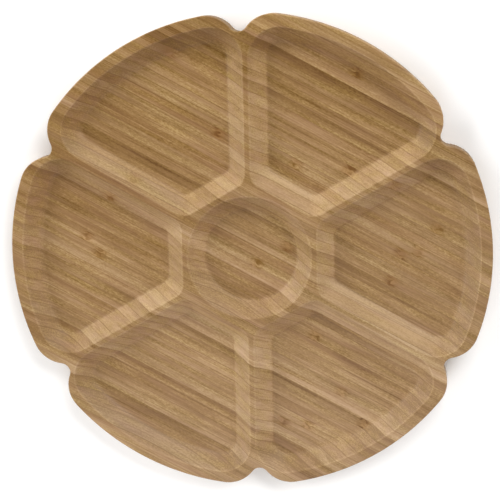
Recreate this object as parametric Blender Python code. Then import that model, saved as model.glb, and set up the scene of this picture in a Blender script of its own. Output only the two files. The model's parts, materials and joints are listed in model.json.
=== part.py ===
"""Round bamboo appetizer dish with six petal pockets around a round dip pocket.

The dish is milled out of a board of upright bamboo staves that are glued side by side, so every
stave is a piece of its own and each glue line is the thin gap between two of them.

Lengths are in metres. +Z is up and the underside rests on Z = 0. The Z axis runs through the middle
of the dish, the staves lie along X, and +X points at one of the six scallop notches.
"""
import math

import bmesh
import bpy
from mathutils import Matrix

# Board
DISH_RADIUS = 0.150
DISH_THICKNESS = 0.016
GLUE_GAP = 0.0003
# staves between the middle of the board and the shoulders of the side petals
SHOULDER_STAVES = 20
# how far outside those shoulders the next glue line runs
SHOULDER_MARGIN = 0.001
# an outermost stave narrower than this share of the others is left joined to its neighbour
NARROWEST_STAVE_SHARE = 0.3

# Scalloped edge
PETAL_COUNT = 6
NOTCH_DEPTH = 0.0115
NOTCH_ROUND = 0.0058
PETAL_CORNER_ROUND = 0.0199
TOP_EDGE_EASE = 0.0008
UNDER_EDGE_ROUND = 0.003

# Pockets, measured where their walls would meet the flat top if the lip between them weren't eased
RIM_WIDTH = 0.0071
RIB_WIDTH = 0.0034
HUB_RING_WIDTH = 0.0034
POCKET_DEPTH = 0.0108
POCKET_WALL_RUN = 0.0107
POCKET_OUTER_ROUND = 0.019
POCKET_INNER_ROUND = 0.010
POCKET_INNER_FOOT_ROUND = 0.005
POCKET_FOOT_FILLET = 0.0012
POCKET_LIP_EASE = 0.0006
DIP_RADIUS = 0.0386
DIP_WALL_RUN = 0.0105
# the pockets are milled in a second setting, turned a little against the scalloped edge
POCKET_TURN_DEG = -1.55

# How far a tool body stands above the dish, as a share of the rib's width
TOOL_RISE_SHARE = 0.25

# Fineness of the round shapes
RIM_ARC_STEPS = 10
CORNER_ARC_STEPS = 6
NOTCH_ARC_STEPS = 6
INNER_CORNER_STEPS = 4
DIP_ARC_STEPS = 48
UNDER_ROUND_STEPS = 3
FILLET_STEPS = 2

# Look
TONES = {"caramel": "A5845A", "honey": "AC8B60", "toast": "9C7A50", "straw": "B1906A", "tan": "A07F58"}
# the board's staves in the order in which they are glued up, from its -Y side
STAVE_TONES = """
    caramel tan honey caramel toast honey caramel tan tan honey
    caramel caramel tan caramel toast straw honey caramel caramel tan
    caramel tan tan straw honey tan honey caramel toast caramel
    honey tan caramel honey tan honey honey caramel caramel straw
    toast caramel caramel honey toast straw tan caramel honey caramel
""".split()
STAVE_ROUGHNESS = 0.55
# faces that meet at more than this angle keep a crisp edge between them
CRISP_EDGE_DEG = 30
# faces that meet at less than this angle are one flat face
FLAT_ANGLE_DEG = 0.05


def arc(centre_x, centre_y, radius, start, end, steps):
    """Points on an arc, both ends included, angles in radians."""
    points = []
    for step in range(steps + 1):
        angle = start + (end - start) * step / steps
        points.append((centre_x + radius * math.cos(angle), centre_y + radius * math.sin(angle)))
    return points


def turned(points, angle):
    """The points turned about the origin."""
    cosine, sine = math.cos(angle), math.sin(angle)
    return [(x * cosine - y * sine, x * sine + y * cosine) for x, y in points]


def notch_layout():
    """Where the arcs of one notch lie, with the notch on +X: its own centre and a petal corner's centre."""
    notch_centre = DISH_RADIUS - NOTCH_DEPTH + NOTCH_ROUND
    corner_reach = DISH_RADIUS - PETAL_CORNER_ROUND
    between = NOTCH_ROUND + PETAL_CORNER_ROUND
    corner_x = (corner_reach ** 2 - between ** 2 + notch_centre ** 2) / (2 * notch_centre)
    corner_y = math.sqrt(corner_reach ** 2 - corner_x ** 2)
    return notch_centre, corner_x, corner_y


def scalloped_outline(inset):
    """Outline of the dish seen from above, moved inwards by inset."""
    notch_centre, corner_x, corner_y = notch_layout()
    corner_angle = math.atan2(corner_y, corner_x)
    joint_angle = math.atan2(corner_y, notch_centre - corner_x)
    petal_angle = math.tau / PETAL_COUNT
    corner_radius = PETAL_CORNER_ROUND - inset
    notch_radius = NOTCH_ROUND + inset
    notch = arc(notch_centre, 0, notch_radius, math.pi + joint_angle, math.pi - joint_angle, NOTCH_ARC_STEPS)
    corner = arc(corner_x, corner_y, corner_radius, -joint_angle, corner_angle, CORNER_ARC_STEPS)
    rim = arc(0, 0, DISH_RADIUS - inset, corner_angle, petal_angle - corner_angle, RIM_ARC_STEPS)
    far_corner = turned([(x, -y) for x, y in reversed(corner)], petal_angle)
    one_petal = notch[:-1] + corner[:-1] + rim[:-1] + far_corner[:-1]
    outline = []
    for petal in range(PETAL_COUNT):
        outline += turned(one_petal, petal * petal_angle)
    return outline


def pocket_outline(inset, wall_share):
    """Outline of a petal pocket on +X, moved inwards by inset; wall_share is 0 at the top, 1 at the foot."""
    half_petal = math.pi / PETAL_COUNT
    cosine, sine = math.cos(half_petal), math.sin(half_petal)
    side_offset = RIB_WIDTH / 2 + inset
    outer_radius = DISH_RADIUS - RIM_WIDTH - inset
    outer_round = POCKET_OUTER_ROUND - inset
    inner_round = POCKET_INNER_ROUND + (POCKET_INNER_FOOT_ROUND - POCKET_INNER_ROUND) * wall_share
    inner_edge = DIP_RADIUS + HUB_RING_WIDTH + inset
    # the outer corner touches the rim arc and the pocket's side
    offset = side_offset + outer_round
    along = math.sqrt((outer_radius - outer_round) ** 2 - offset ** 2)
    outer_x = along * cosine + offset * sine
    outer_y = along * sine - offset * cosine
    # the inner corner touches the side and the straight inner edge
    inner_x = inner_edge + inner_round
    inner_y = (inner_x * sine - side_offset - inner_round) / cosine
    meet = math.atan2(outer_y, outer_x)
    side_normal = math.pi / 2 + half_petal
    rim = arc(0, 0, outer_radius, -meet, meet, RIM_ARC_STEPS)
    outer_corner = arc(outer_x, outer_y, outer_round, meet, side_normal, CORNER_ARC_STEPS)
    inner_corner = arc(inner_x, inner_y, inner_round, side_normal, math.pi, INNER_CORNER_STEPS)
    upper = outer_corner[1:] + inner_corner
    lower = [(x, -y) for x, y in reversed(upper)]
    return rim + upper + lower


def wall_profile(run):
    """Pocket wall from the floor to just above the dish, as (inset, height) pairs."""
    floor_height = DISH_THICKNESS - POCKET_DEPTH
    wall_angle = math.atan2(POCKET_DEPTH, run)
    foot_end = run + POCKET_FOOT_FILLET * math.tan(wall_angle / 2)
    profile = []
    for step in range(FILLET_STEPS + 1):
        angle = wall_angle * step / FILLET_STEPS
        inset = foot_end - POCKET_FOOT_FILLET * math.sin(angle)
        profile.append((inset, floor_height + POCKET_FOOT_FILLET * (1 - math.cos(angle))))
    lip_drop = POCKET_LIP_EASE * math.sin(wall_angle)
    profile.append((POCKET_LIP_EASE * math.cos(wall_angle), DISH_THICKNESS - lip_drop))
    profile.append((-POCKET_LIP_EASE, DISH_THICKNESS))
    profile.append((-POCKET_LIP_EASE, DISH_THICKNESS + RIB_WIDTH * TOOL_RISE_SHARE))
    return profile


def stack_rings(name, rings):
    """A closed body through outlines of equally many points, each with its height, from low to high."""
    mesh = bmesh.new()
    layers = [[mesh.verts.new((x, y, height)) for x, y in points] for points, height in rings]
    count = len(layers[0])
    for low, high in zip(layers, layers[1:]):
        for index in range(count):
            following = (index + 1) % count
            mesh.faces.new((low[index], low[following], high[following], high[index]))
    mesh.faces.new(list(reversed(layers[0])))
    mesh.faces.new(layers[-1])
    bmesh.ops.recalc_face_normals(mesh, faces=mesh.faces)
    data = bpy.data.meshes.new(name)
    mesh.to_mesh(data)
    mesh.free()
    body = bpy.data.objects.new(name, data)
    bpy.context.scene.collection.objects.link(body)
    return body


def box(name, low, high):
    """A box between two opposite corners."""
    outline = [(low[0], low[1]), (high[0], low[1]), (high[0], high[1]), (low[0], high[1])]
    return stack_rings(name, [(outline, low[2]), (outline, high[2])])


def combine(body, cutter, operation):
    """Cut the body with the cutter, or keep what both share, and drop the cutter."""
    cutter.hide_render = True
    cutter.display_type = "WIRE"
    step = body.modifiers.new(operation.lower(), "BOOLEAN")
    step.operation = operation
    step.solver = "EXACT"
    step.object = cutter
    bpy.context.view_layer.update()
    evaluated = body.evaluated_get(bpy.context.evaluated_depsgraph_get())
    result = bpy.data.meshes.new_from_object(evaluated)
    body.modifiers.clear()
    old = body.data
    body.data = result
    bpy.data.meshes.remove(old)
    bpy.data.objects.remove(cutter)


def scalloped_blank():
    """The board cut to its scalloped outline, with its edges rounded."""
    rings = []
    for step in range(UNDER_ROUND_STEPS + 1):
        angle = math.pi / 2 * step / UNDER_ROUND_STEPS
        inset = UNDER_EDGE_ROUND * (1 - math.sin(angle))
        height = UNDER_EDGE_ROUND * (1 - math.cos(angle))
        rings.append((scalloped_outline(inset), height))
    rings.append((scalloped_outline(0), DISH_THICKNESS - TOP_EDGE_EASE))
    rings.append((scalloped_outline(TOP_EDGE_EASE), DISH_THICKNESS))
    return stack_rings("blank", rings)


def petal_cutter(petal):
    """The tool body of one petal pocket."""
    profile = wall_profile(POCKET_WALL_RUN)
    angle = (petal + 1 / 2) * math.tau / PETAL_COUNT + math.radians(POCKET_TURN_DEG)
    rings = []
    for inset, height in profile:
        wall_share = max(inset, 0) / POCKET_WALL_RUN
        rings.append((turned(pocket_outline(inset, wall_share), angle), height))
    return stack_rings("petal_cutter", rings)


def dip_cutter():
    """The tool body of the round pocket in the middle."""
    profile = wall_profile(DIP_WALL_RUN)
    rings = []
    for inset, height in profile:
        circle = arc(0, 0, DIP_RADIUS - inset, 0, math.tau, DIP_ARC_STEPS)[:-1]
        rings.append((circle, height))
    return stack_rings("dip_cutter", rings)


def glue_lines():
    """Where the glue lines run across the board, from one side to the other, board edges included."""
    _, corner_x, corner_y = notch_layout()
    petal_angle = math.tau / PETAL_COUNT
    corner_angle = math.atan2(corner_y, corner_x)
    corner_reach = DISH_RADIUS - PETAL_CORNER_ROUND
    shoulder = corner_reach * math.sin(petal_angle - corner_angle) + PETAL_CORNER_ROUND
    pitch = (shoulder + SHOULDER_MARGIN) / SHOULDER_STAVES
    half = int((DISH_RADIUS - pitch * NARROWEST_STAVE_SHARE) / pitch)
    lines = [index * pitch for index in range(-half, half + 1)]
    return [-DISH_RADIUS - pitch] + lines + [DISH_RADIUS + pitch]


def largest_body_only(data):
    """Drop the crumbs that a scallop can leave of a stave beyond a notch."""
    mesh = bmesh.new()
    mesh.from_mesh(data)
    left = set(mesh.verts)
    bodies = []
    while left:
        reached = {left.pop()}
        edge_of_search = list(reached)
        while edge_of_search:
            vertex = edge_of_search.pop()
            for edge in vertex.link_edges:
                other = edge.other_vert(vertex)
                if other in left:
                    left.remove(other)
                    reached.add(other)
                    edge_of_search.append(other)
        bodies.append(reached)
    if len(bodies) > 1:
        bodies.sort(key=body_length)
        crumbs = [vertex for body in bodies[:-1] for vertex in body]
        bmesh.ops.delete(mesh, geom=crumbs, context="VERTS")
    mesh.to_mesh(data)
    mesh.free()


def body_length(vertices):
    """How far a set of vertices reaches along X."""
    along = [vertex.co.x for vertex in vertices]
    return max(along) - min(along)


def merge_flat_faces(data):
    """Join faces that lie in one plane, and drop points that lie on a straight edge."""
    mesh = bmesh.new()
    mesh.from_mesh(data)
    flat = math.radians(FLAT_ANGLE_DEG)
    bmesh.ops.dissolve_limit(mesh, angle_limit=flat, verts=mesh.verts, edges=mesh.edges)
    bmesh.ops.triangulate(mesh, faces=mesh.faces)
    mesh.to_mesh(data)
    mesh.free()


def linear(channel):
    """One sRGB channel from 0 to 255 as linear light."""
    value = channel / 255
    if value <= 0.04045:
        return value / 12.92
    return ((value + 0.055) / 1.055) ** 2.4


def bamboo(name, tone):
    """Oiled bamboo in the given tone."""
    material = bpy.data.materials.new(name)
    material.use_nodes = True
    colour = [linear(int(tone[start:start + 2], 16)) for start in (0, 2, 4)]
    shader = material.node_tree.nodes["Principled BSDF"]
    shader.inputs["Base Color"].default_value = (*colour, 1)
    shader.inputs["Roughness"].default_value = STAVE_ROUGHNESS
    shader.inputs["Metallic"].default_value = 0
    material.diffuse_color = (*colour, 1)
    return material


def milled_blank():
    """The scalloped blank with all its pockets milled."""
    blank = scalloped_blank()
    for petal in range(PETAL_COUNT):
        combine(blank, petal_cutter(petal), "DIFFERENCE")
    combine(blank, dip_cutter(), "DIFFERENCE")
    merge_flat_faces(blank.data)
    return blank


def add_stave(blank, number, low, high, tone):
    """The stave of the milled blank between two glue lines, with its origin midway between them."""
    name = f"stave_{number:02d}"
    stave = bpy.data.objects.new(name, blank.data.copy())
    bpy.context.scene.collection.objects.link(stave)
    near = (-2 * DISH_RADIUS, low + GLUE_GAP / 2, -DISH_THICKNESS)
    far = (2 * DISH_RADIUS, high - GLUE_GAP / 2, 2 * DISH_THICKNESS)
    combine(stave, box("slab", near, far), "INTERSECT")
    largest_body_only(stave.data)
    merge_flat_faces(stave.data)
    middle = (low + high) / 2
    stave.data.transform(Matrix.Translation((0, -middle, 0)))
    stave.location = (0, middle, 0)
    stave.data.name = name
    stave.data.shade_smooth()
    stave.data.set_sharp_from_angle(angle=math.radians(CRISP_EDGE_DEG))
    stave.data.materials.clear()
    stave.data.materials.append(bamboo(f"{name}_{tone}_bamboo", TONES[tone]))
    return stave


def main():
    """Mill the blank and part it along its glue lines into staves, held together by one empty."""
    for old in list(bpy.data.objects):
        bpy.data.objects.remove(old)
    blank = milled_blank()
    dish = bpy.data.objects.new("dish", None)
    bpy.context.scene.collection.objects.link(dish)
    lines = glue_lines()
    for index, (low, high) in enumerate(zip(lines, lines[1:])):
        stave = add_stave(blank, index + 1, low, high, STAVE_TONES[index % len(STAVE_TONES)])
        stave.parent = dish
    bpy.data.objects.remove(blank)


main()
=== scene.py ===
"""Looks of a round bamboo appetizer dish with six petal pockets around a round dip pocket.

The dish is modelled the way it is made: a board is cut to its scalloped outline, its edges are
rounded, the pockets are milled out of it, and it is parted along its glue lines into the upright
staves that it is laminated from. Each stave takes the place of its solid in the frame.

+Z is up, +X points along the staves, and the underside rests on Z = 0. Sizes are in millimetres
times MM, which makes metres of them.
"""

import json
import logging
import math
import random
from abc import ABC, abstractmethod
from collections.abc import Callable
from dataclasses import dataclass, field
from enum import Enum

import bmesh
import bpy
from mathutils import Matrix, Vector

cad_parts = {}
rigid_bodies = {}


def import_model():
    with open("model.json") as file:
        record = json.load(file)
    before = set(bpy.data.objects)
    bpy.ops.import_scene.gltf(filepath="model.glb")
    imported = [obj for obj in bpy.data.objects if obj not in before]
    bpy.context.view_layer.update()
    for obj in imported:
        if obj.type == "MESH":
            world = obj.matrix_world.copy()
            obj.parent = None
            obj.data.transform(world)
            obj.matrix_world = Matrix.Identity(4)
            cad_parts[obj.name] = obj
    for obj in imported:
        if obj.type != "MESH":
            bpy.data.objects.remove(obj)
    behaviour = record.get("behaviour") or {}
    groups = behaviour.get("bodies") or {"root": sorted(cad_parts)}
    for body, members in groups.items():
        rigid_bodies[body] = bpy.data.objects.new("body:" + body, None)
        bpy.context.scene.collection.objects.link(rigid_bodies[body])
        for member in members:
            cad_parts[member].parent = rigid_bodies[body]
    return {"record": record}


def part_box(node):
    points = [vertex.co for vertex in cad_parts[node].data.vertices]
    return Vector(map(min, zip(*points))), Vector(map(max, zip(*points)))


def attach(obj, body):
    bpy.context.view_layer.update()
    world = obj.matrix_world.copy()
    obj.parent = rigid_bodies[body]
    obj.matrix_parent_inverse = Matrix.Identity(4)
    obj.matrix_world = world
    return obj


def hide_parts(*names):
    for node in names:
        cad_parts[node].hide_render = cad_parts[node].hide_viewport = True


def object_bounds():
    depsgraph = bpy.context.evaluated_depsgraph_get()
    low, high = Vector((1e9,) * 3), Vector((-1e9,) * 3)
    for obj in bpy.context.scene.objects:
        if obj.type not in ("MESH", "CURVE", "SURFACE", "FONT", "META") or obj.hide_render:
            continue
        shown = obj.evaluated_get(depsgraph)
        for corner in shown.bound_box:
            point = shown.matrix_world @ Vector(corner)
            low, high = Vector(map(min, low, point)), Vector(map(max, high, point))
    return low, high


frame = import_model()
cad_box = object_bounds()

MM = 0.001
UP = Vector((0, 0, 1))
ACROSS = Vector((0, 1, 0))
# the spin operator turns clockwise about an axis, so a turn to the left goes about this one
LEFT_TURN_AXIS = (0, 0, -1)
# points nearer to each other than this are one point
SAME_POINT = 0.001 * MM
# towards the soft boxes that light the dish most; the painted shade on the slopes and the painted sheen
# across the dish are laid out by it
TOWARDS_KEY_LIGHTS = (-0.7, 0.7, 0)

# where a stave holds a knuckle of the cane: millimetres along it from the middle of the dish
KNUCKLES = {"stave_11": 69, "stave_12": 84, "stave_15": 115, "stave_17": 92, "stave_18": -85,
            "stave_19": -97, "stave_21": 60, "stave_24": -95, "stave_25": 6, "stave_27": -86,
            "stave_28": 18, "stave_30": 85, "stave_33": 82, "stave_34": 91, "stave_35": -53,
            "stave_36": -2, "stave_37": 94, "stave_38": 29, "stave_39": 57, "stave_40": -101,
            "stave_47": 5}
# a knuckle this many millimetres away is past the end of the stave and doesn't show
NO_KNUCKLE = 1000
# staves that came out paler or darker than their tone
PALENESS = {"stave_01": 0.15, "stave_02": 0.15, "stave_03": -0.1, "stave_08": -0.1, "stave_12": 0.05,
            "stave_13": 0.07, "stave_15": 0.05, "stave_21": -0.07, "stave_27": -0.13, "stave_28": -0.07,
            "stave_31": -0.07, "stave_33": -0.05, "stave_34": -0.05, "stave_36": -0.11, "stave_37": -0.04,
            "stave_40": -0.16, "stave_41": -0.03, "stave_42": -0.1, "stave_43": -0.06, "stave_44": -0.17,
            "stave_45": -0.13, "stave_46": -0.07, "stave_47": 0.1, "stave_48": 0.1}
# staves that get darker towards -X
FADING = {"stave_22": 0.05, "stave_23": 0.06, "stave_24": 0.05, "stave_25": 0.08, "stave_26": 0.12,
          "stave_27": 0.1, "stave_35": 0.12, "stave_41": 0.1, "stave_42": 0.25}

Tree = bpy.types.NodeTree
Socket = bpy.types.NodeSocket

log = logging.getLogger("appetizer_dish")


@dataclass(frozen=True)
class Arc:
    """Part of a circle in an outline, with its angles in radians."""

    centre: tuple[float, float]
    radius: float
    start: float
    end: float
    steps: int

    def at(self, angle: float) -> Vector:
        """The point of the circle at an angle."""
        x, y = self.centre
        return Vector((x + self.radius * math.cos(angle), y + self.radius * math.sin(angle), 0))


def deselect_all() -> None:
    """Deselect every object."""
    bpy.ops.object.select_all(action="DESELECT")


def activate(piece: bpy.types.Object) -> None:
    """Make a piece the only one selected, and the active one.

    Args:
        piece: The piece to work on.
    """
    deselect_all()
    piece.select_set(True)
    bpy.context.view_layer.objects.active = piece


def start_piece(name: str) -> bpy.types.Object:
    """Start an empty mesh at the origin, in edit mode.

    Args:
        name: The piece's name.

    Returns:
        The new piece.
    """
    deselect_all()
    bpy.ops.mesh.primitive_plane_add(size=MM, location=(0, 0, 0))
    piece = bpy.context.object
    piece.name = piece.data.name = name
    bpy.ops.object.mode_set(mode="EDIT")
    bpy.ops.mesh.delete(type="VERT")
    return piece


def select_edges(piece: bpy.types.Object, wanted: Callable[[Vector, Vector], bool]) -> None:
    """Select edges of the piece in edit mode by where their two ends lie.

    Args:
        piece: The piece in edit mode.
        wanted: Says of an edge's two end points whether it is wanted.
    """
    bpy.ops.mesh.select_mode(type="EDGE")
    bpy.ops.mesh.select_all(action="DESELECT")
    mesh = bmesh.from_edit_mesh(piece.data)
    for edge in mesh.edges:
        if wanted(edge.verts[0].co, edge.verts[1].co):
            edge.select_set(True)
    bmesh.update_edit_mesh(piece.data)


def select_levels(piece: bpy.types.Object, *heights: float) -> None:
    """Select the level edges that lie at one of the heights.

    Args:
        piece: The piece in edit mode.
        heights: The heights at which edges are wanted.
    """
    def is_there(one: Vector, other: Vector) -> bool:
        """Whether both ends lie at the same wanted height."""
        return any(abs(one.z - z) < SAME_POINT and abs(other.z - z) < SAME_POINT for z in heights)

    select_edges(piece, is_there)


def draw_outline(arcs: list[Arc], height: float, closed: bool = True) -> None:
    """Draw an outline in edit mode: spin a vertex along each arc and extrude it straight between them.

    Args:
        arcs: The arcs in their order.
        height: The outline's height.
        closed: Whether the last point is joined to the first.
    """
    bpy.ops.mesh.select_mode(type="VERT")
    bpy.ops.mesh.select_all(action="DESELECT")
    first = arcs[0].at(arcs[0].start) + height * UP
    bpy.ops.mesh.primitive_plane_add(size=SAME_POINT, location=first)
    bpy.ops.mesh.merge(type="CENTER")
    here = first
    for arc in arcs:
        start = arc.at(arc.start) + height * UP
        if (start - here).length > SAME_POINT:
            bpy.ops.mesh.extrude_vertices_move(TRANSFORM_OT_translate={"value": start - here})
        turn = arc.end - arc.start
        centre = (*arc.centre, height)
        bpy.ops.mesh.spin(steps=arc.steps, angle=turn, center=centre, axis=LEFT_TURN_AXIS)
        here = arc.at(arc.end) + height * UP
    if closed and (first - here).length > SAME_POINT:
        bpy.ops.mesh.extrude_vertices_move(TRANSFORM_OT_translate={"value": first - here})
    bpy.ops.mesh.select_linked()
    bpy.ops.mesh.remove_doubles(threshold=SAME_POINT)


def round_edges(width: float, segments: int) -> None:
    """Round the selected edges.

    Args:
        width: How far the round reaches into each of the two faces.
        segments: How many faces it has.
    """
    bpy.ops.mesh.bevel(offset_type="OFFSET", offset=width, segments=segments, affect="EDGES",
                       clamp_overlap=False)


@dataclass
class ScallopedBoard:
    """The laminated board, cut to a round with six notches, before its pockets are milled."""

    radius: float
    thickness: float
    petals: int = 6
    notch_depth: float = 11.5 * MM
    notch_round: float = 5.8 * MM
    corner_round: float = 19.9 * MM
    top_ease: float = 0.8 * MM
    under_round: float = 3.0 * MM
    ease_segments: int = 3
    under_segments: int = 6
    rim_steps: int = 26
    corner_steps: int = 14
    notch_steps: int = 8

    def petal_outline(self) -> list[Arc]:
        """The outline from the bottom of the notch on +X to the bottom of the next one.

        Returns:
            The arcs in their order.
        """
        notch_x = self.radius - self.notch_depth + self.notch_round
        reach = self.radius - self.corner_round
        between = self.notch_round + self.corner_round
        # the corner's circle touches the rim's from inside and the notch's from outside
        corner_x = (reach ** 2 - between ** 2 + notch_x ** 2) / (2 * notch_x)
        corner_y = math.sqrt(reach ** 2 - corner_x ** 2)
        corner = math.atan2(corner_y, corner_x)
        joint = math.atan2(corner_y, notch_x - corner_x)
        petal = math.tau / self.petals
        near = (corner_x, corner_y)
        far = (reach * math.cos(petal - corner), reach * math.sin(petal - corner))
        next_notch = (notch_x * math.cos(petal), notch_x * math.sin(petal))
        return [
            Arc((notch_x, 0), self.notch_round, math.pi, math.pi - joint, self.notch_steps),
            Arc(near, self.corner_round, -joint, corner, self.corner_steps),
            Arc((0, 0), self.radius, corner, petal - corner, self.rim_steps),
            Arc(far, self.corner_round, petal - corner, petal + joint, self.corner_steps),
            Arc(next_notch, self.notch_round, petal + math.pi + joint, petal + math.pi, self.notch_steps),
        ]

    def build(self) -> bpy.types.Object:
        """Cut the board to its outline and round its edges.

        Returns:
            The board.
        """
        board = start_piece("board")
        draw_outline(self.petal_outline(), 0, closed=False)
        turn = math.tau / self.petals
        bpy.ops.mesh.spin(steps=self.petals - 1, angle=math.tau - turn, dupli=True, center=(0, 0, 0),
                          axis=LEFT_TURN_AXIS)
        bpy.ops.mesh.select_all(action="SELECT")
        bpy.ops.mesh.remove_doubles(threshold=SAME_POINT)
        bpy.ops.mesh.edge_face_add()
        bpy.ops.mesh.extrude_region_move(TRANSFORM_OT_translate={"value": self.thickness * UP})
        bpy.ops.mesh.select_all(action="SELECT")
        bpy.ops.mesh.normals_make_consistent(inside=False)
        select_levels(board, self.thickness)
        round_edges(self.top_ease, self.ease_segments)
        select_levels(board, 0)
        round_edges(self.under_round, self.under_segments)
        bpy.ops.object.mode_set(mode="OBJECT")
        return board


@dataclass(frozen=True)
class Wall:
    """A pocket's wall in section: a straight slope that runs out on the floor in a cove."""

    run: float
    cove: float
    drop: float = 10.8 * MM

    @property
    def slope(self) -> float:
        """The angle of the straight slope, in radians."""
        # how long the straight slope is, from the lip to where it touches the cove
        reach = math.sqrt(self.run ** 2 - (2 * self.cove - self.drop) * self.drop)
        return 2 * math.atan(self.drop / (self.run + reach))

    def rises(self, segments: int) -> list[float]:
        """The heights above the floor of the points that divide the cove evenly.

        Args:
            segments: How many parts the cove is divided into.

        Returns:
            The heights, from 0 upwards.
        """
        return [self.cove * (1 - math.cos(self.slope * step / segments)) for step in range(segments + 1)]

    def inset(self, rise: float) -> float:
        """How far inside the pocket's lip the wall is at a height.

        Args:
            rise: The height above the floor.

        Returns:
            The distance, which is below 0 above the lip.
        """
        if rise < self.cove * (1 - math.cos(self.slope)):
            return self.run - math.sqrt(self.cove ** 2 - (self.cove - rise) ** 2)
        return (self.drop - rise) / math.tan(self.slope)


@dataclass
class Pocket(ABC):
    """A pocket with sloped walls, coves at their foot and an eased lip at their top."""

    thickness: float
    lip_width: float = 0.8 * MM
    cove_segments: int = 5
    lip_segments: int = 4
    # the tool body steps out just above the board, which leaves the step's edge to round the lip
    step_width: float = 1.6 * MM
    step_lift: float = 0.02 * MM
    headroom: float = 3.0 * MM

    @property
    @abstractmethod
    def walls(self) -> tuple[Wall, ...]:
        """The kinds of wall round the pocket, the one with the widest cove first."""

    @abstractmethod
    def outline(self, *insets: float) -> list[Arc]:
        """The pocket's outline at one height.

        Args:
            insets: How far inside the pocket's lip each kind of wall is there.

        Returns:
            The arcs in their order.
        """

    def cutter(self, name: str) -> bpy.types.Object:
        """Loft the tool body that leaves the pocket in the board.

        Args:
            name: The tool body's name.

        Returns:
            The tool body.
        """
        widest = self.walls[0]
        floor = self.thickness - widest.drop
        lip = self.thickness + self.step_lift
        step = lip + self.step_lift
        top = step + self.headroom
        levels = [(floor + rise, [wall.inset(rise) for wall in self.walls])
                  for rise in (*widest.rises(self.cove_segments), widest.drop + self.step_lift)]
        levels += [(height, [-self.step_width] * len(self.walls)) for height in (step, top)]
        tool = start_piece(name)
        below = None
        for height, insets in levels:
            draw_outline(self.outline(*insets), height)
            if below is not None:
                select_levels(tool, below, height)
                bpy.ops.mesh.bridge_edge_loops()
            below = height
        for height in (floor, top):
            select_levels(tool, height)
            bpy.ops.mesh.edge_face_add()
        bpy.ops.mesh.select_all(action="SELECT")
        bpy.ops.mesh.normals_make_consistent(inside=False)
        select_levels(tool, lip)
        round_edges(self.lip_width, self.lip_segments)
        bpy.ops.object.mode_set(mode="OBJECT")
        return tool


@dataclass
class PetalPocket(Pocket):
    """One of the six food pockets, drawn on +X."""

    board: ScallopedBoard = field(kw_only=True)
    hub_radius: float = field(kw_only=True)
    rim_width: float = 7.1 * MM
    rib_width: float = 3.4 * MM
    outer_round: float = 19.0 * MM
    inner_round: float = 10.0 * MM
    inner_foot_round: float = 5.0 * MM
    rim_wall: Wall = Wall(11.4 * MM, 5.0 * MM)
    side_wall: Wall = Wall(11.9 * MM, 3.0 * MM)
    rim_steps: int = 26
    outer_steps: int = 14
    inner_steps: int = 8
    # the pockets are milled in a second setting, turned a little against the scalloped edge
    setting_turn: float = math.radians(-1.55)

    @property
    def walls(self) -> tuple[Wall, ...]:
        """The wall under the rim, and the walls along the ribs and the hub."""
        return self.rim_wall, self.side_wall

    def outline(self, *insets: float) -> list[Arc]:
        """The pocket's outline at one height.

        Args:
            insets: How far inside the lip the rim's wall and the side walls are there.

        Returns:
            The arcs in their order.
        """
        at_rim, at_side = insets
        half = math.pi / self.board.petals
        side = self.rib_width / 2 + at_side
        rim = self.board.radius - self.rim_width - at_rim
        outer = self.outer_round - (at_rim + at_side) / 2
        # the rounds at the hub get tighter from the lip down to the foot
        tighter = max(at_side, 0) / self.side_wall.run
        inner = self.inner_round + (self.inner_foot_round - self.inner_round) * tighter
        along = math.sqrt((rim - outer) ** 2 - (side + outer) ** 2)
        outer_x = along * math.cos(half) + (side + outer) * math.sin(half)
        outer_y = along * math.sin(half) - (side + outer) * math.cos(half)
        inner_x = self.hub_radius + at_side + inner
        inner_y = (inner_x * math.sin(half) - side - inner) / math.cos(half)
        meet = math.atan2(outer_y, outer_x)
        square = math.pi / 2 + half
        return [
            Arc((0, 0), rim, -meet, meet, self.rim_steps),
            Arc((outer_x, outer_y), outer, meet, square, self.outer_steps),
            Arc((inner_x, inner_y), inner, square, math.pi, self.inner_steps),
            Arc((inner_x, -inner_y), inner, math.pi, math.tau - square, self.inner_steps),
            Arc((outer_x, -outer_y), outer, math.tau - square, math.tau - meet, self.outer_steps),
        ]

    def cutters(self) -> bpy.types.Object:
        """Loft one petal's tool body and set six of them round the middle.

        Returns:
            The six tool bodies as one object.
        """
        tools = self.cutter("petal_tools")
        bpy.ops.object.mode_set(mode="EDIT")
        bpy.ops.mesh.select_all(action="SELECT")
        petal = math.tau / self.board.petals
        # without a window this operator turns clockwise
        bpy.ops.transform.rotate(value=-(petal / 2 + self.setting_turn), orient_axis="Z",
                                 center_override=(0, 0, 0))
        bpy.ops.mesh.spin(steps=self.board.petals - 1, angle=math.tau - petal, dupli=True,
                          center=(0, 0, 0), axis=LEFT_TURN_AXIS)
        bpy.ops.object.mode_set(mode="OBJECT")
        return tools


@dataclass
class DipPocket(Pocket):
    """The round pocket in the middle."""

    radius: float = 38.6 * MM
    # the flat ring that stays between the dip and the petal pockets
    ring_width: float = 3.4 * MM
    lip_width: float = 1.1 * MM
    wall: Wall = Wall(11.2 * MM, 3.5 * MM)
    steps: int = 160

    @property
    def walls(self) -> tuple[Wall, ...]:
        """The one wall that runs all round."""
        return (self.wall,)

    def outline(self, *insets: float) -> list[Arc]:
        """The pocket's outline at one height.

        Args:
            insets: How far inside the lip the wall is there.

        Returns:
            One whole circle.
        """
        return [Arc((0, 0), self.radius - insets[0], 0, math.tau, self.steps)]


class Tone(Enum):
    """The tones that the staves are sorted into, by the record's material slots."""

    CARAMEL = "bamboo_caramel"
    HONEY = "bamboo_honey"
    TOAST = "bamboo_toast"
    STRAW = "bamboo_straw"
    TAN = "bamboo_tan"


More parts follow.
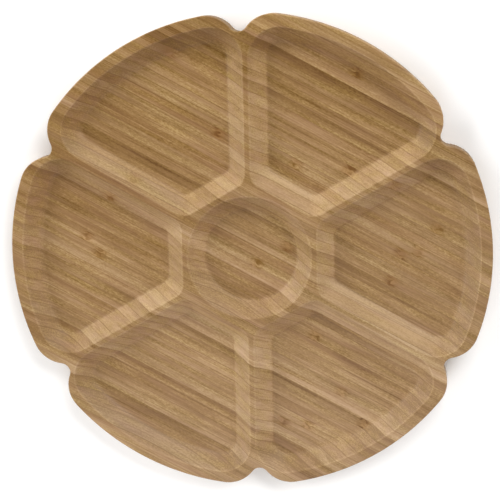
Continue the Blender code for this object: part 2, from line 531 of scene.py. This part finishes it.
def linear(colour: str) -> tuple[float, float, float, float]:
    """An sRGB colour as linear light.

    Args:
        colour: The colour as six hex digits.

    Returns:
        Red, green, blue and full alpha.
    """
    channels = [int(colour[start:start + 2], 16) / 255 for start in (0, 2, 4)]
    light = [c / 12.92 if c <= 0.04045 else ((c + 0.055) / 1.055) ** 2.4 for c in channels]
    return (*light, 1.0)


def add_node(tree: Tree, kind: str, inputs: dict | None = None, output: int | str = 0,
             **settings: object) -> Socket:
    """Add a shader node with its settings, values and links.

    Args:
        tree: The material's node tree.
        kind: The node's type.
        inputs: Values, or other nodes' sockets to link, by the input's name or number.
        output: Which of the node's outputs is wanted.
        settings: The node's own properties.

    Returns:
        The wanted output.
    """
    node = tree.nodes.new(kind)
    for name, value in settings.items():
        setattr(node, name, value)
    for name, value in (inputs or {}).items():
        if isinstance(value, Socket):
            tree.links.new(value, node.inputs[name])
        else:
            node.inputs[name].default_value = value
    return node.outputs[output]


@dataclass(frozen=True)
class Grain:
    """One layer of the bamboo's grain: streaks drawn out along the stave."""

    length: float
    width: float
    depth: float
    # how many finer steps the streaks are broken up by
    finer: float
    # how much the layer adds or takes at most
    weight: float = 1.0

    def noise(self, tree: Tree, timber: Socket) -> Socket:
        """The layer as noise, about 0.5 in the middle.

        Args:
            tree: The material's node tree.
            timber: The surface's place in the stave's own timber.

        Returns:
            The noise.
        """
        scaled = add_node(tree, "ShaderNodeMapping", {
            "Vector": timber, "Scale": (1 / self.length, 1 / self.width, 1 / self.depth)})
        return add_node(tree, "ShaderNodeTexNoise", {
            "Vector": scaled, "Scale": 1.0, "Detail": self.finer, "Roughness": 0.6})

    def change(self, tree: Tree, timber: Socket) -> Socket:
        """The layer as a change to either side of 0, by its weight.

        Args:
            tree: The material's node tree.
            timber: The surface's place in the stave's own timber.

        Returns:
            The change.
        """
        return add_node(tree, "ShaderNodeMapRange", {
            "Value": self.noise(tree, timber), "To Min": -self.weight, "To Max": self.weight},
            clamp=False)


@dataclass(frozen=True)
class OiledBamboo:
    """Edge-laminated bamboo, milled, sanded and oiled: satin, with fine fibres and dark glue lines.

    To the eye that is close brown lines along every stave, one darker edge on each, where the
    cane's bark was, and paler slopes with the dots of open fibre ends, where the mill cut across.
    """

    pitch: float
    radius: float
    thickness: float
    pale: str
    middle: str
    dark: str
    # fibre bundles are 0.3 to 0.6 mm thick in real bamboo, and drawn about twice as thick to show
    fibre: Grain = Grain(110 * MM, 1.5 * MM, 8 * MM, 1.0, 0.08)
    band: Grain = Grain(190 * MM, 4.2 * MM, 14 * MM, 0.0, 0.085)
    fleck: Grain = Grain(12 * MM, 0.8 * MM, 4 * MM, 2.0, 0.24)
    dark_line: Grain = Grain(120 * MM, 0.6 * MM, 9 * MM, 0.0, -0.15)
    pale_line: Grain = Grain(70 * MM, 0.8 * MM, 7 * MM, 0.0, 0.1)
    # the bundles' open ends are 0.2 mm wide, and drawn about three times as coarse to show
    pore: Grain = Grain(1.4 * MM, 0.55 * MM, 0.55 * MM, 0.0)
    cloud: Grain = Grain(60 * MM, 14 * MM, 14 * MM, 1.0, 0.35)
    tint: Grain = Grain(40 * MM, 5 * MM, 5 * MM, 1.0)
    dash: Grain = Grain(7 * MM, 1.5 * MM, 3 * MM, 1.0)
    # the swirl's weight is how far it bends the fibres round a knuckle
    swirl: Grain = Grain(5 * MM, 2.5 * MM, 5 * MM, 0.0, 2.4 * MM)
    # the staves were cut from places all along so many metres of cane
    cane_length: float = 5.0
    knuckle_reach: float = 7.0 * MM
    glue_width: float = 0.4 * MM
    # the lip's paleness starts so far below the top, and is full so far below it
    lip_start: float = 0.8 * MM
    lip_full: float = 0.3 * MM
    relief: float = 0.12 * MM
    # how much of the pale colour a slope takes, and how much more of it where the wood is palest
    slope_paleness: float = 0.345
    slope_contrast: float = 0.24
    # how pale the slopes are from the middle outwards: partly how they took the oil, and partly
    # painted light round the hub and painted shade under the rim; from and to where each change runs,
    # in shares of the dish's radius, and the paleness after it
    slope_oil_and_shade: tuple[tuple[float, float, float], ...] = (
        (0.26, 0.28, 0.2), (0.35, 0.45, 0.12), (0.78, 0.88, -0.22))

    def material(self, name: str) -> bpy.types.Material:
        """Make the material.

        Args:
            name: The material's name.

        Returns:
            The material.
        """
        made = bpy.data.materials.new(name)
        made.use_nodes = True
        tree = made.node_tree
        place = add_node(tree, "ShaderNodeTexCoord", output="Object")
        normal = add_node(tree, "ShaderNodeTexCoord", output="Normal")
        x, y, z = (add_node(tree, "ShaderNodeSeparateXYZ", {0: place}, output=axis) for axis in "XYZ")
        lean_x, lean_z = (add_node(tree, "ShaderNodeMath", {
            0: add_node(tree, "ShaderNodeSeparateXYZ", {0: normal}, output=axis)}, operation="ABSOLUTE")
            for axis in "XZ")
        # a face counts as a slope from 20 degrees on, and fully from 45
        slope = add_node(tree, "ShaderNodeMapRange", {"Value": lean_z, "From Min": 0.94, "From Max": 0.7})
        near = self.near_knuckle(tree, x)
        timber = self.own_timber(tree, place, near)
        fibre = self.fibre.noise(tree, timber)

        share = add_node(tree, "ShaderNodeMath", {
            0: self.fibres(tree, timber, fibre), 1: self.line_strength(tree, lean_x, slope)},
            operation="MULTIPLY")
        for part in (self.bark_side(tree, y), self.cloud.change(tree, timber),
                     self.knuckle(tree, timber, near), self.worn_lip_and_highlight(tree, z, lean_z),
                     self.glue_line(tree, timber, y, slope), self.oil_and_shade_on_slopes(tree, place, slope),
                     self.pores(tree, timber, slope, lean_x), self.fading(tree, x),
                     self.mark(tree, "paleness")):
            share = add_node(tree, "ShaderNodeMath", {0: share, 1: part}, operation="ADD")
        share = add_node(tree, "ShaderNodeMath", {0: share, 1: 0.5}, operation="ADD", use_clamp=True)

        shader = tree.nodes["Principled BSDF"]
        colour = self.tinted(tree, self.browns(tree, share, slope), place, normal, timber, near)
        tree.links.new(colour, shader.inputs["Base Color"])
        # the paler wood holds less oil, and is duller
        rough = add_node(tree, "ShaderNodeMapRange", {"Value": share, "To Min": 0.54, "To Max": 0.66})
        tree.links.new(rough, shader.inputs["Roughness"])
        # the oil sank in and left no film, so the wood mirrors less than a varnished one
        shader.inputs["Specular IOR Level"].default_value = 0.4
        relief = add_node(tree, "ShaderNodeBump", {
            "Strength": 0.6, "Distance": self.relief, "Height": fibre})
        tree.links.new(relief, shader.inputs["Normal"])
        return made

    def mark(self, tree: Tree, name: str) -> Socket:
        """The number that each stave carries under a name."""
        return add_node(tree, "ShaderNodeAttribute", output="Fac", attribute_name=name)

    def near_knuckle(self, tree: Tree, x: Socket) -> Socket:
        """How near the cane's knuckle is, where a stave holds one.

        Args:
            tree: The material's node tree.
            x: The place along the staves.

        Returns:
            1 at the knuckle, falling to 0.
        """
        off = add_node(tree, "ShaderNodeMath", {0: x, 1: self.mark(tree, "knuckle_x")},
                       operation="SUBTRACT")
        away = add_node(tree, "ShaderNodeMath", {0: off}, operation="ABSOLUTE")
        return add_node(tree, "ShaderNodeMapRange", {
            "Value": away, "From Min": self.knuckle_reach, "From Max": 0.0},
            interpolation_type="SMOOTHSTEP")

    def own_timber(self, tree: Tree, place: Socket, near: Socket) -> Socket:
        """The surface's place in the stave's own timber, with the fibres bent round a knuckle.

        Args:
            tree: The material's node tree.
            place: The surface's place on the dish.
            near: How near the knuckle is.

        Returns:
            The place that the grain is drawn by.
        """
        slid = add_node(tree, "ShaderNodeMath", {0: self.mark(tree, "stave_grain"), 1: self.cane_length},
                        operation="MULTIPLY")
        slid = add_node(tree, "ShaderNodeCombineXYZ", {0: slid})
        timber = add_node(tree, "ShaderNodeVectorMath", {0: place, 1: slid}, operation="ADD")
        bend = add_node(tree, "ShaderNodeMath", {0: near, 1: self.swirl.change(tree, timber)},
                        operation="MULTIPLY")
        bend = add_node(tree, "ShaderNodeCombineXYZ", {1: bend})
        return add_node(tree, "ShaderNodeVectorMath", {0: timber, 1: bend}, operation="ADD")

    def fibres(self, tree: Tree, timber: Socket, fibre: Socket) -> Socket:
        """The fine lines along a stave: long soft ones, short flecks, and single dark and pale lines.

        Args:
            tree: The material's node tree.
            timber: The surface's place in the stave's own timber.
            fibre: The noise of the long soft lines.

        Returns:
            What the lines add to the share of the pale colour.
        """
        share = add_node(tree, "ShaderNodeMapRange", {
            "Value": fibre, "To Min": -self.fibre.weight, "To Max": self.fibre.weight}, clamp=False)
        for layer in (self.band, self.fleck):
            share = add_node(tree, "ShaderNodeMath", {0: share, 1: layer.change(tree, timber)},
                             operation="ADD")
        # single lines stand only where their noise is highest
        for layer in (self.dark_line, self.pale_line):
            line = add_node(tree, "ShaderNodeMapRange", {
                "Value": layer.noise(tree, timber), "From Min": 0.57, "From Max": 0.69, "To Min": 0.0,
                "To Max": layer.weight})
            share = add_node(tree, "ShaderNodeMath", {0: share, 1: line}, operation="ADD")
        return share

    def line_strength(self, tree: Tree, lean_x: Socket, slope: Socket) -> Socket:
        """How strongly the fine lines are drawn, which is 1 on the flats.

        Args:
            tree: The material's node tree.
            lean_x: How squarely the surface cuts across the fibres, from 0 to 1.
            slope: Whether the surface slopes, from 0 to 1.

        Returns:
            The strength.
        """
        # squarely across the fibres their ends are too fine to see one by one
        ends = add_node(tree, "ShaderNodeMapRange", {
            "Value": lean_x, "From Min": 0.15, "From Max": 0.75, "To Min": 1.0, "To Max": 0.85})
        # the slopes' paler colour would drown the lines, so they are drawn half as strong again
        return add_node(tree, "ShaderNodeMath", {0: slope, 1: 0.5, 2: ends}, operation="MULTIPLY_ADD")

    def bark_side(self, tree: Tree, y: Socket) -> Socket:
        """The darker side of each stave, towards +Y, where the bundles lay close under the bark.

        Args:
            tree: The material's node tree.
            y: The place across the staves.

        Returns:
            What it takes from the share of the pale colour.
        """
        staves = add_node(tree, "ShaderNodeMath", {0: y, 1: self.pitch}, operation="DIVIDE")
        across = add_node(tree, "ShaderNodeMath", {0: staves}, operation="FRACT")
        side = 0.04
        # from and to where the tone changes, in shares of the stave's width, and the tone after it
        for start, end, tone in ((0.35, 0.8, -0.09), (0.8, 1.0, -0.04)):
            side = add_node(tree, "ShaderNodeMapRange", {
                "Value": across, "From Min": start, "From Max": end, "To Min": side, "To Max": tone},
                interpolation_type="SMOOTHSTEP")
        return add_node(tree, "ShaderNodeMath", {0: side, 1: self.mark(tree, "bark_weight")},
                        operation="MULTIPLY")

    def knuckle(self, tree: Tree, timber: Socket, near: Socket) -> Socket:
        """The darker wood and short dark dashes at the cane's knuckle.

        Args:
            tree: The material's node tree.
            timber: The surface's place in the stave's own timber.
            near: How near the knuckle is.

        Returns:
            What they take from the share of the pale colour.
        """
        dashes = add_node(tree, "ShaderNodeMapRange", {
            "Value": self.dash.noise(tree, timber), "From Min": 0.48, "From Max": 0.6, "To Min": -0.05,
            "To Max": -0.38})
        return add_node(tree, "ShaderNodeMath", {0: near, 1: dashes}, operation="MULTIPLY")

    def worn_lip_and_highlight(self, tree: Tree, z: Socket, lean_z: Socket) -> Socket:
        """The eased edges at the top, paler than the flats beside them: partly sanding wear, and partly a
        painted highlight along the lips.

        Args:
            tree: The material's node tree.
            z: The height.
            lean_z: How nearly level the surface lies, from 0 to 1.

        Returns:
            What they add to the share of the pale colour.
        """
        high = add_node(tree, "ShaderNodeMapRange", {
            "Value": z, "From Min": self.thickness - self.lip_start,
            "From Max": self.thickness - self.lip_full})
        # a face counts as part of the round from 6 degrees off level on, and fully from 20
        turned = add_node(tree, "ShaderNodeMapRange", {
            "Value": lean_z, "From Min": 0.995, "From Max": 0.94, "To Min": 0.0, "To Max": 0.17})
        return add_node(tree, "ShaderNodeMath", {0: high, 1: turned}, operation="MULTIPLY")

    def glue_line(self, tree: Tree, timber: Socket, y: Socket, slope: Socket) -> Socket:
        """The brown line of glue between two staves, stronger here and weaker there.

        Args:
            tree: The material's node tree.
            timber: The surface's place in the stave's own timber.
            y: The place across the staves.
            slope: Whether the surface slopes, from 0 to 1.

        Returns:
            What it takes from the share of the pale colour.
        """
        away = add_node(tree, "ShaderNodeMath", {0: y, 1: self.pitch / 2}, operation="PINGPONG")
        full = add_node(tree, "ShaderNodeMapRange", {
            "Value": self.cloud.noise(tree, timber), "From Min": 0.35, "From Max": 0.65,
            "To Min": -0.04, "To Max": -0.3})
        # the slopes' paler colour would drown the line, so it is drawn darker there
        full = add_node(tree, "ShaderNodeMath", {0: slope, 1: -0.28, 2: full}, operation="MULTIPLY_ADD")
        return add_node(tree, "ShaderNodeMapRange", {
            "Value": away, "From Min": 0.1 * self.glue_width, "From Max": self.glue_width,
            "To Min": full, "To Max": 0.0}, interpolation_type="SMOOTHSTEP")

    def oil_and_shade_on_slopes(self, tree: Tree, place: Socket, slope: Socket) -> Socket:
        """How pale the slopes are ring by ring: the dip's, those round the hub, the sides, the rim's;
        partly the oil, partly painted light and shade.

        Args:
            tree: The material's node tree.
            place: The surface's place on the dish.
            slope: Whether the surface slopes, from 0 to 1.

        Returns:
            What that adds to the share of the pale colour.
        """
        level = add_node(tree, "ShaderNodeVectorMath", {0: place, 1: (1, 1, 0)}, operation="MULTIPLY")
        out = add_node(tree, "ShaderNodeVectorMath", {0: level}, output="Value", operation="LENGTH")
        # partly the oil, partly painted light round the hub and painted shade under the rim
        oiled = 0.0
        for start, end, share in self.slope_oil_and_shade:
            oiled = add_node(tree, "ShaderNodeMapRange", {
                "Value": out, "From Min": start * self.radius, "From Max": end * self.radius,
                "To Min": oiled, "To Max": share})
        return add_node(tree, "ShaderNodeMath", {0: oiled, 1: slope}, operation="MULTIPLY")

    def pores(self, tree: Tree, timber: Socket, slope: Socket, lean_x: Socket) -> Socket:
        """The open ends of the bundles: dashes on the flats, dots where the mill cut across them.

        Args:
            tree: The material's node tree.
            timber: The surface's place in the stave's own timber.
            slope: Whether the surface slopes, from 0 to 1.
            lean_x: How squarely the surface cuts across the fibres, from 0 to 1.

        Returns:
            What they add to the share of the pale colour.
        """
        # some places of the cane are more open than others, and all are where they are cut across
        open_wide = add_node(tree, "ShaderNodeMapRange", {
            "Value": self.tint.noise(tree, timber), "From Min": 0.35, "From Max": 0.65, "To Min": 0.08,
            "To Max": 0.32})
        crossed = add_node(tree, "ShaderNodeMath", {0: slope, 1: 0.22, 2: open_wide},
                           operation="MULTIPLY_ADD")
        sawn_end = add_node(tree, "ShaderNodeMapRange", {
            "Value": lean_x, "From Min": 0.75, "From Max": 1.0, "To Min": 0.0, "To Max": 0.5})
        crossed = add_node(tree, "ShaderNodeMath", {0: crossed, 1: sawn_end}, operation="ADD")
        return add_node(tree, "ShaderNodeMath", {0: self.pore.change(tree, timber), 1: crossed},
                        operation="MULTIPLY")

    def fading(self, tree: Tree, x: Socket) -> Socket:
        """The even change of tone from one end of a stave to the other.

        Args:
            tree: The material's node tree.
            x: The place along the staves.

        Returns:
            What it adds to the share of the pale colour.
        """
        along = add_node(tree, "ShaderNodeMath", {0: x, 1: self.radius}, operation="DIVIDE")
        return add_node(tree, "ShaderNodeMath", {0: along, 1: self.mark(tree, "fading")},
                        operation="MULTIPLY")

    def browns(self, tree: Tree, share: Socket, slope: Socket) -> Socket:
        """The wood's brown, from dark through middle to pale, with paler slopes.

        Args:
            tree: The material's node tree.
            share: The share of the pale colour, from 0 to 1.
            slope: Whether the surface slopes, from 0 to 1.

        Returns:
            The colour.
        """
        darker = add_node(tree, "ShaderNodeMapRange", {"Value": share, "From Min": 0.5, "From Max": 0.0})
        paler = add_node(tree, "ShaderNodeMapRange", {"Value": share, "From Min": 0.5, "From Max": 1.0})
        # a slope shows the fibres' ends, which are paler than their sides
        ends = add_node(tree, "ShaderNodeMath", {
            0: share, 1: self.slope_contrast, 2: self.slope_paleness}, operation="MULTIPLY_ADD")
        ends = add_node(tree, "ShaderNodeMath", {0: slope, 1: ends}, operation="MULTIPLY")
        colour = linear(self.middle)
        for much, brown in ((darker, self.dark), (paler, self.pale), (ends, self.pale)):
            colour = add_node(tree, "ShaderNodeMix", {0: much, 6: colour, 7: linear(brown)}, output=2,
                              data_type="RGBA")
        return colour

    def tinted(self, tree: Tree, colour: Socket, place: Socket, normal: Socket, timber: Socket,
               near: Socket) -> Socket:
        """The brown made redder here and more golden there, with painted shade on the slopes that face
        away from the key lights and painted sheen across the dish.

        Args:
            tree: The material's node tree.
            colour: The brown.
            place: The surface's place on the dish.
            normal: The way that the surface faces.
            timber: The surface's place in the stave's own timber.
            near: How near the knuckle is.

        Returns:
            The colour.
        """
        tint = self.tint.noise(tree, timber)
        hue = add_node(tree, "ShaderNodeMapRange", {"Value": tint, "To Min": 0.487, "To Max": 0.513},
                       clamp=False)
        strength = add_node(tree, "ShaderNodeMapRange", {"Value": tint, "To Min": 0.9, "To Max": 1.06},
                            clamp=False)
        # painted sheen: greyer away from the key lights, more golden towards them
        strength = add_node(tree, "ShaderNodeMath", {0: strength, 1: self.painted_sheen_side(tree, place)},
                            operation="ADD")
        # the wood is a redder, stronger brown at a knuckle; the slopes that face away from the key lights
        # are made so too, as painted shade
        shaded = self.painted_shade_side(tree, normal)
        for where, redder, stronger in ((near, -0.003, 0.05), (shaded, -0.006, 0.025)):
            hue = add_node(tree, "ShaderNodeMath", {0: where, 1: redder, 2: hue},
                           operation="MULTIPLY_ADD")
            strength = add_node(tree, "ShaderNodeMath", {0: where, 1: stronger, 2: strength},
                                operation="MULTIPLY_ADD")
        return add_node(tree, "ShaderNodeHueSaturation", {
            "Hue": hue, "Saturation": strength, "Color": colour})

    def painted_shade_side(self, tree: Tree, normal: Socket) -> Socket:
        """Painted shade: the slopes that face away from the key lights are made redder than the others.

        Args:
            tree: The material's node tree.
            normal: The way that the surface faces.

        Returns:
            How far the surface faces away from the key lights, from 0 to 1.
        """
        facing = add_node(tree, "ShaderNodeVectorMath", {0: normal, 1: TOWARDS_KEY_LIGHTS}, output="Value",
                          operation="DOT_PRODUCT")
        return add_node(tree, "ShaderNodeMapRange", {"Value": facing, "From Min": 0.0, "From Max": -0.6})

    def painted_sheen_side(self, tree: Tree, place: Socket) -> Socket:
        """Painted sheen: the wood is made greyer across the dish away from the key lights, as under a
        whitish sheen, and more golden towards them.

        Args:
            tree: The material's node tree.
            place: The surface's place on the dish.

        Returns:
            What it adds to the colour's strength.
        """
        along = add_node(tree, "ShaderNodeVectorMath", {0: place, 1: TOWARDS_KEY_LIGHTS}, output="Value",
                         operation="DOT_PRODUCT")
        return add_node(tree, "ShaderNodeMapRange", {
            "Value": along, "From Min": -self.radius, "From Max": self.radius, "To Min": -0.06,
            "To Max": 0.06})


@dataclass
class StavedDish:
    """The milled dish as the staves that it is laminated from."""

    board: ScallopedBoard
    petals: PetalPocket
    dip: DipPocket
    # the real glue line is flush, so the visible staves nearly touch
    seam: float = 0.012 * MM
    crisp_angle: float = math.radians(35)
    # how strongly the staves show their bark side, the least and the most
    bark_weights: tuple[float, float] = (-0.3, 1.9)
    grain_seed: int = 11

    def mill(self) -> bpy.types.Object:
        """Mill the pockets out of the board.

        Returns:
            The milled board.
        """
        board = self.board.build()
        tools = self.petals.cutters()
        dip_tool = self.dip.cutter("dip_tool")
        deselect_all()
        dip_tool.select_set(True)
        tools.select_set(True)
        bpy.context.view_layer.objects.active = tools
        bpy.ops.object.join()
        activate(board)
        bpy.ops.object.modifier_add(type="BOOLEAN")
        cut = board.modifiers[-1]
        cut.operation = "DIFFERENCE"
        cut.solver = "EXACT"
        cut.object = tools
        bpy.ops.object.modifier_apply(modifier=cut.name)
        bpy.data.objects.remove(tools)
        return board

    def cut_across(self, piece: bpy.types.Object, at: float, keep_below: bool) -> None:
        """Saw a piece along the staves and close the cut.

        Args:
            piece: The piece to saw.
            at: Where the saw runs, along Y.
            keep_below: Whether the side towards -Y stays.
        """
        activate(piece)
        bpy.ops.object.mode_set(mode="EDIT")
        bpy.ops.mesh.select_all(action="SELECT")
        # the threshold is well below the seam, so that each side is cut at its own plane
        bpy.ops.mesh.bisect(plane_co=at * ACROSS, plane_no=ACROSS, use_fill=True, clear_outer=keep_below,
                            clear_inner=not keep_below, threshold=SAME_POINT / 10)
        bpy.ops.object.mode_set(mode="OBJECT")

    def part(self, board: bpy.types.Object, nodes: list[str]) -> dict[str, bpy.types.Object]:
        """Part the milled board along its glue lines.

        Args:
            board: The milled board, which is used up.
            nodes: The frame's staves from -Y to +Y.

        Returns:
            The visible stave for each of the frame's staves.
        """
        staves = {}
        for node, following in zip(nodes, nodes[1:]):
            line = (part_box(node)[1].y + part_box(following)[0].y) / 2
            activate(board)
            bpy.ops.object.duplicate()
            stave = bpy.context.object
            self.cut_across(stave, line - self.seam / 2, keep_below=True)
            self.cut_across(board, line + self.seam / 2, keep_below=False)
            staves[node] = stave
        staves[nodes[-1]] = board
        return staves

    def smooth(self, stave: bpy.types.Object) -> None:
        """Shade a stave smooth, with crisp edges and flat faces kept.

        Args:
            stave: The stave.
        """
        activate(stave)
        bpy.ops.object.shade_smooth_by_angle(angle=self.crisp_angle)
        bpy.ops.object.modifier_add(type="WEIGHTED_NORMAL")
        weighting = stave.modifiers[-1]
        weighting.keep_sharp = True
        bpy.ops.object.modifier_apply(modifier=weighting.name)

    def mark(self, stave: bpy.types.Object, name: str, value: float) -> None:
        """Give all of a stave one number, which its material reads.

        Args:
            stave: The stave.
            name: The attribute's name.
            value: The number.
        """
        mark = stave.data.attributes.new(name, "FLOAT", "POINT")
        mark.data.foreach_set("value", [value] * len(stave.data.vertices))

    def build(self, slots: dict[str, str], finishes: dict[str, bpy.types.Material]) -> None:
        """Model, part and dress the whole dish.

        Args:
            slots: The material slot of each of the frame's staves.
            finishes: The material of each slot.
        """
        draw = random.Random(self.grain_seed)
        milled = self.mill()
        log.info("milled board: %d faces", len(milled.data.polygons))
        for node, stave in self.part(milled, sorted(slots)).items():
            stave.name = stave.data.name = f"bamboo_{node}"
            self.smooth(stave)
            stave.data.materials.clear()
            stave.data.materials.append(finishes[slots[node]])
            self.mark(stave, "stave_grain", draw.random())
            self.mark(stave, "bark_weight", draw.uniform(*self.bark_weights))
            self.mark(stave, "knuckle_x", KNUCKLES.get(node, NO_KNUCKLE) * MM)
            self.mark(stave, "paleness", PALENESS.get(node, 0.0))
            self.mark(stave, "fading", FADING.get(node, 0.0))
            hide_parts(node)
            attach(stave, "root")
            log.info("%s: %d faces", stave.name, len(stave.data.polygons))


@dataclass(frozen=True)
class SoftBox:
    """A soft box that shines on the middle of the dish."""

    name: str
    azimuth: float
    elevation: float
    distance: float
    size: tuple[float, float]
    power: float

    def build(self) -> None:
        """Hang the soft box."""
        flat = math.cos(self.elevation)
        towards = Vector((math.cos(self.azimuth) * flat, math.sin(self.azimuth) * flat,
                          math.sin(self.elevation)))
        deselect_all()
        bpy.ops.object.light_add(type="AREA", location=self.distance * towards)
        lamp = bpy.context.object
        lamp.name = self.name
        lamp.rotation_euler = towards.to_track_quat("Z", "Y").to_euler()
        lamp.data.shape = "RECTANGLE"
        lamp.data.size, lamp.data.size_y = self.size
        lamp.data.energy = self.power


@dataclass(frozen=True)
class Studio:
    """A plain pale floor under soft boxes in a white room."""

    floor_size: float = 60.0
    floor_colour: str = "FAF9F8"
    room_strength: float = 0.29
    boxes: tuple[SoftBox, ...] = (
        SoftBox("left_soft_box", math.radians(190), math.radians(28), 3.2, (2.8, 1.6), 77.0),
        SoftBox("back_soft_box", math.radians(85), math.radians(39), 2.4, (2.1, 1.2), 53.0),
        SoftBox("front_card", math.radians(300), math.radians(45), 0.52, (0.4, 0.4), 1.15),
    )

    def build(self) -> None:
        """Lay the floor and set the lights."""
        deselect_all()
        bpy.ops.mesh.primitive_plane_add(size=self.floor_size, location=(0, 0, 0))
        floor = bpy.context.object
        floor.name = floor.data.name = "studio_floor"
        paper = bpy.data.materials.new("matt_white_backdrop_paper")
        paper.use_nodes = True
        shader = paper.node_tree.nodes["Principled BSDF"]
        shader.inputs["Base Color"].default_value = linear(self.floor_colour)
        shader.inputs["Roughness"].default_value = 0.9
        shader.inputs["Specular IOR Level"].default_value = 0.1
        floor.data.materials.append(paper)

        for box in self.boxes:
            box.build()
        scene = bpy.context.scene
        scene.world = bpy.data.worlds.new("white_room")
        scene.world.use_nodes = True
        room = scene.world.node_tree.nodes["Background"]
        room.inputs["Color"].default_value = (1, 1, 1, 1)
        room.inputs["Strength"].default_value = self.room_strength
        scene.view_settings.view_transform = "Standard"


@dataclass(frozen=True)
class PhotoCamera:
    """The photograph's camera, nearly straight above the dish."""

    # worked out from the outlines of the dish and its pockets
    place: tuple[float, float, float] = (3.14 * MM, 194.15 * MM, 767.12 * MM)
    turn_deg: tuple[float, float, float] = (-12.8788, 4.4301, 27.8011)
    lens: float = 90.019
    sensor: float = 36.0
    # the photograph is cropped a little off the optical axis
    shift: tuple[float, float] = (-0.11115, 0.02505)

    def build(self) -> None:
        """Set up the camera as the scene's own."""
        deselect_all()
        rotation = [math.radians(turn) for turn in self.turn_deg]
        bpy.ops.object.camera_add(location=self.place, rotation=rotation)
        camera = bpy.context.object
        camera.name = "photo_camera"
        camera.data.sensor_width = self.sensor
        camera.data.lens = self.lens
        camera.data.shift_x, camera.data.shift_y = self.shift
        bpy.context.scene.camera = camera


def main() -> None:
    """Build the dish, the studio and the camera."""
    logging.basicConfig(level=logging.INFO, format="%(name)s %(message)s")
    low, high = cad_box
    radius, thickness = (high.y - low.y) / 2, high.z - low.z
    slots = {part["node"]: part["material_slot"] for part in frame["record"]["subparts"]}
    # the round edge cuts the outermost stave narrower, so the pitch is read off the next two
    first, second = sorted(slots)[1:3]
    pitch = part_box(second)[0].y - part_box(first)[0].y

    board = ScallopedBoard(radius, thickness)
    dip = DipPocket(thickness)
    petals = PetalPocket(thickness, board=board, hub_radius=dip.radius + dip.ring_width)
    tones = {
        Tone.CARAMEL: OiledBamboo(pitch, radius, thickness, "B29268", "8D6C40", "664410"),
        Tone.HONEY: OiledBamboo(pitch, radius, thickness, "B79970", "927248", "6C4B18"),
        Tone.TOAST: OiledBamboo(pitch, radius, thickness, "A6875B", "816033", "5B3907"),
        Tone.STRAW: OiledBamboo(pitch, radius, thickness, "BE9F77", "99784F", "734F20"),
        Tone.TAN: OiledBamboo(pitch, radius, thickness, "AD8D62", "88663A", "623E0C"),
    }
    finishes = {tone.value: bamboo.material(f"oiled_laminated_{tone.value}")
                for tone, bamboo in tones.items()}
    PhotoCamera().build()
    Studio().build()
    StavedDish(board, petals, dip).build(slots, finishes)


if __name__ == "__main__":
    main()
